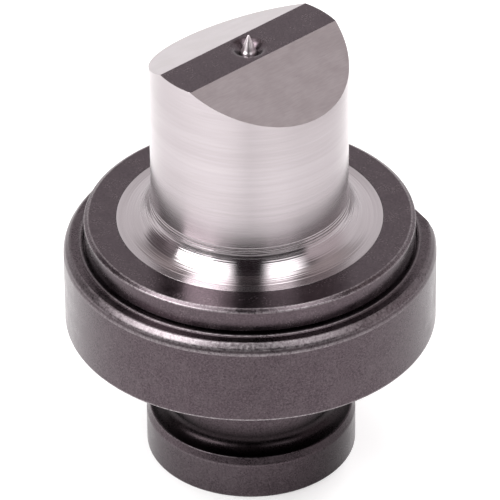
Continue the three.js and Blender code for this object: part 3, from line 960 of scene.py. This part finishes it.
# lengths here are in metres
CAMERA_AZIMUTH = math.radians(-30)
CAMERA_ELEVATION = math.radians(35.39)
CAMERA_DISTANCE = 0.9
CAMERA_ROLL = -0.0071
AIM_HEIGHT = 0.012  # above the housing's shoulder
LENS_MM, SENSOR_MM = 400, 36
CLIP_NEAR, CLIP_FAR = 0.05, 20

RIGHT = Vector((math.cos(CAMERA_AZIMUTH), math.sin(CAMERA_AZIMUTH), 0))
AWAY = Vector((-math.sin(CAMERA_AZIMUTH), math.cos(CAMERA_AZIMUTH), 0))
UP = Vector((0, 0, 1))


def seen_from_camera(x, y, z):
    """A direction given as right, away and up in the camera's own vertical plane."""
    return (RIGHT * x + AWAY * y + UP * z).normalized()


def make_camera():
    """A long lens, looking down at the piece as the photo does."""
    data = bpy.data.cameras.new("camera")
    data.lens = LENS_MM
    data.sensor_width = SENSOR_MM
    data.clip_start = CLIP_NEAR
    data.clip_end = CLIP_FAR
    camera = bpy.data.objects.new("camera", data)
    shoulder = Vector((0, 0, SHOULDER * MM))
    back = seen_from_camera(0, -math.cos(CAMERA_ELEVATION), math.sin(CAMERA_ELEVATION))
    camera.location = shoulder + back * CAMERA_DISTANCE
    aim = shoulder + UP * AIM_HEIGHT
    look = (aim - camera.location).to_track_quat("-Z", "Y")
    camera.rotation_mode = "QUATERNION"
    camera.rotation_quaternion = look @ Quaternion((0, 0, 1), CAMERA_ROLL)
    bpy.context.scene.collection.objects.link(camera)
    bpy.context.scene.camera = camera


FLOOR_HALF = 3
FLOOR_DROP = 0.00002  # just clear of the stud's end face
FLOOR_GLOW = 0.42  # how strong the floor's own light is


def make_floor():
    """A pale floor. A little light of its own keeps it white round the piece, as in the photo: a glow that
    grows with the distance, more on both sides, and more to the right where the piece shades it."""
    bm = bmesh.new()
    bmesh.ops.create_grid(bm, x_segments=1, y_segments=1, size=FLOOR_HALF)
    floor = piece("floor", bm)
    g = MaterialGraph("pale_floor")
    grain = g.noise(g.place_mm(), 0.02, 2.0)
    colour = g.mix(grain, (0.60, 0.596, 0.596, 1), (0.63, 0.626, 0.626, 1))
    # distances from the piece, in millimetres
    place = g.place_mm()
    to_right = g.vector("DOT_PRODUCT", place, tuple(RIGHT))
    aside = g.math("ABSOLUTE", to_right)
    along = g.math("ABSOLUTE", g.vector("DOT_PRODUCT", place, tuple(AWAY)))
    around = g.range(g.vector("LENGTH", place), 0.6, 1.0, 20, 70)
    beside = g.product(g.range(aside, 0.0, 0.6, 0, 50), g.range(aside, 1.0, 0.0, 70, 100))
    shaded = g.product(
        g.range(to_right, 0.0, 1.0, 6, 16),
        g.range(to_right, 1.0, 0.0, 16, 42),
        g.range(along, 0.8, 0.0, 8, 34),
    )
    glow = g.math("ADD", around, g.math("ADD", beside, shaded))
    floor.data.materials.append(
        g.surface(
            Base_Color=colour,
            Roughness=0.9,
            Emission_Color=(1, 0.99, 0.99, 1),
            Emission_Strength=g.math("MULTIPLY", glow, FLOOR_GLOW),
        )
    )
    floor.location.z = -FLOOR_DROP


DIM_ROOM = (0.02, 0.014, 0.017, 1)
BOX_LIGHT = 4.0  # how bright a soft box is
MIDDLE = Vector((0, 0, 0.03))  # what the fill light faces


def softbox(name, direction, distance, size, radiance):
    """A square area light that faces the piece."""
    data = bpy.data.lights.new(name, "AREA")
    data.shape = "SQUARE"
    data.size = size
    data.energy = radiance * math.pi * size * size
    light = bpy.data.objects.new(name, data)
    toward = seen_from_camera(*direction)
    light.location = MIDDLE + toward * distance
    light.rotation_mode = "QUATERNION"
    light.rotation_quaternion = toward.to_track_quat("Z", "Y")
    light.visible_camera = False
    bpy.context.scene.collection.objects.link(light)


def make_world():
    """The studio as the piece sees it: a pale sweep behind, a tall soft box on each side of the camera,
    and a dim room elsewhere."""
    world = bpy.data.worlds.new("studio")
    bpy.context.scene.world = world
    world.use_nodes = True
    g = Graph(world.node_tree)
    toward = g.add("ShaderNodeTexCoord").outputs["Generated"]
    x = g.vector("DOT_PRODUCT", toward, tuple(RIGHT))
    y = g.vector("DOT_PRODUCT", toward, tuple(AWAY))
    z = g.vector("DOT_PRODUCT", toward, tuple(UP))

    # the room, in directions to the right, away from the camera and up
    sweep = g.product(g.step(y, 0.1, 0.55), g.step(z, 0.80, 0.55))
    overhead = g.product(g.step(y, -0.05, 0.25), g.step(z, 0.55, 0.8))
    left_back = g.product(
        g.step(x, -0.35, -0.7), g.step(y, 0.0, 0.2), g.step(y, 0.62, 0.45), g.step(z, 0.1, 0.25)
    )
    right_side = g.product(g.step(x, 0.5, 0.8), g.step(y, -0.55, -0.4))
    left_side = g.product(g.step(x, -0.7, -0.9), g.step(y, -0.35, 0.0))
    colour = DIM_ROOM
    for mask, tone in (
        (left_side, (0.42, 0.36, 0.38, 1)),
        (right_side, (0.85, 0.76, 0.78, 1)),
        (overhead, (0.62, 0.545, 0.54, 1)),
        (sweep, (1.15, 1.12, 1.13, 1)),
        (left_back, (0.18, 0.15, 0.16, 1)),
    ):
        colour = g.mix(mask, colour, tone)

    # The soft boxes, placed by the mirror that shows them to the camera: how far round a turned piece
    # it stands from the camera's side (as a tangent), and how far it leans back (as a sine).
    to_camera = seen_from_camera(0, -math.cos(CAMERA_ELEVATION), math.sin(CAMERA_ELEVATION))
    halfway = g.vector("NORMALIZE", g.vector("ADD", toward, tuple(to_camera)))
    lean = g.vector("DOT_PRODUCT", halfway, tuple(UP))
    ahead = g.math("MAXIMUM", g.math("SUBTRACT", math.cos(CAMERA_ELEVATION), y), 0.001)
    round_by = g.math("DIVIDE", x, ahead)
    low_down = g.step(lean, 0.90, 0.85)  # each box reaches further round lower down
    height = g.product(g.step(lean, 0.50, 0.69), g.step(y, 0.70, 0.5))
    left_edge = g.math("SUBTRACT", round_by, g.range(low_down, -0.50, -0.84))
    right_edge = g.math("SUBTRACT", round_by, g.range(low_down, 0.38, 0.53))
    left = g.product(height, g.step(round_by, -0.11, -0.25), g.step(left_edge, -0.18, 0.16))
    right = g.product(height, g.step(round_by, 0.09, 0.23), g.step(right_edge, 0.14, -0.13))
    for box in (left, right):
        colour = g.mix(box, colour, (BOX_LIGHT, BOX_LIGHT, BOX_LIGHT, 1))
    background = g.add("ShaderNodeBackground")
    g.feed(background.inputs["Color"], colour)
    output = g.add("ShaderNodeOutputWorld")
    g.feed(output.inputs["Surface"], background.outputs[0])


def make_studio():
    make_camera()
    make_floor()
    make_world()
    softbox("left_fill", (-0.62, -0.34, 0.71), distance=0.4, size=0.25, radiance=7.0)
    bpy.context.scene.view_settings.view_transform = "Standard"


# ---- everything ----

make_studio()

side_black = black_oxide("black_oxide_sides", grain=0.006, turned_marks=0.001, rough=0.28)
cap_black = black_oxide(
    "black_oxide_cap", grain=0.0015, turned_marks=0.001, rough=0.22, spread=0.5, tone=1.12
)
strip_black = black_oxide("black_oxide_strip", grain=0.0015, turned_marks=0.0, rough=0.22, tone=1.18)
bearing_steel = polished_steel("lapped_bearing_steel", (0.62, 0.62, 0.64), roughness=0.12)
spring_steel = polished_steel("oiled_spring_steel", (0.34, 0.35, 0.37), roughness=0.32)
cage_brass = polished_steel("machined_brass", (0.6, 0.42, 0.16), roughness=0.28)
tip_steel = turned_steel(
    "polished_hard_tip", smooth=0.28, rough=0.36, mark_depth=0.0006, spread=0.8, tone=1.65
)
seal = rubber()

make_housing(side_black)
make_stud(side_black)
make_cap(cap_black)
make_nose(
    {
        PLAIN: turned_steel("turned_ground_steel", smooth=0.17, rough=0.27, mark_depth=0.0035),
        SLOPE: ground_slope_steel(),
        STRIP: strip_black,
        FILLET: turned_steel("turned_bright_steel", smooth=0.13, rough=0.20, mark_depth=0.0008),
    }
)
make_point(tip_steel)
make_spring(spring_steel)
make_balls("bearing_ball", 12, "ball_set", "main_ball", bearing_steel)
make_balls("thrust_ball", 8, "thrust_set", "small_ball", bearing_steel)
make_needles("needle", 12, "needle_set", "roller", bearing_steel)

# the other nodes keep the frame's shape
SLOT_MATERIALS = {
    "black_oxide": side_black,
    "bearing_steel": bearing_steel,
    "spring_steel": spring_steel,
    "cage_brass": cage_brass,
    "seal_rubber": seal,
}
for part in frame["record"]["subparts"]:
    node = frame["nodes"][part["node"]]
    if not node.hide_render:
        slot = part["material_slot"]
        rounded_copy(node, body_of(node)[0], SLOT_MATERIALS[slot])
